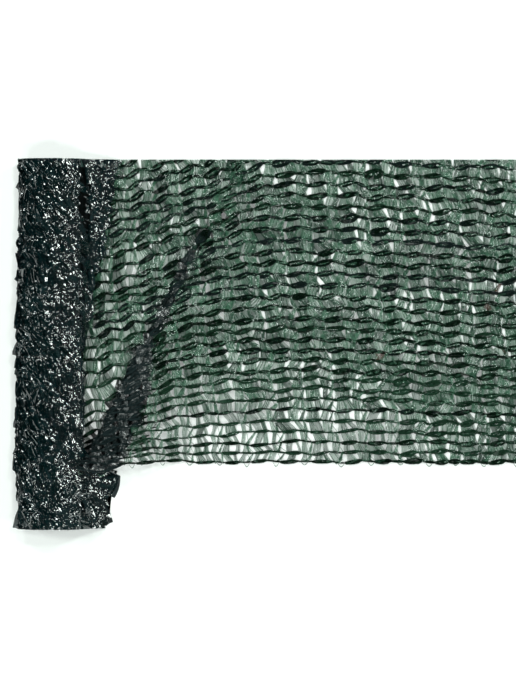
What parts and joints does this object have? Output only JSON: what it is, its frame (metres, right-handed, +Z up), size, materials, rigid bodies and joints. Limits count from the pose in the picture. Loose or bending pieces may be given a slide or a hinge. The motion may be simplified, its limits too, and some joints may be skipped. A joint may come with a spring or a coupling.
{
  "type": "greenhouse shade net, a short roll with its loose end drawn out",
  "caption": "Short roll of knitted green shade net lying on a table, its loose end drawn out flat with one tapering pleat.",
  "frame": {"origin": "on the table, below the centre of the whole piece's bounding box", "axes": "+Z up from the table; +Y along the roll, from the near edge to the far edge; +X from the roll along the drawn-out loose end"},
  "size_m": [0.1921, 0.14, 0.0158],
  "materials": {
    "wound_net": "many layers of glossy dark green polyethylene tape, near black with small glints",
    "loose_net": "glossy, see-through green polyethylene film tape held in dark green knitted chains"
  },
  "bodies": {
    "root": {"net_roll": "wound_net", "loose_end": "loose_net"}
  },
  "joints": []
}
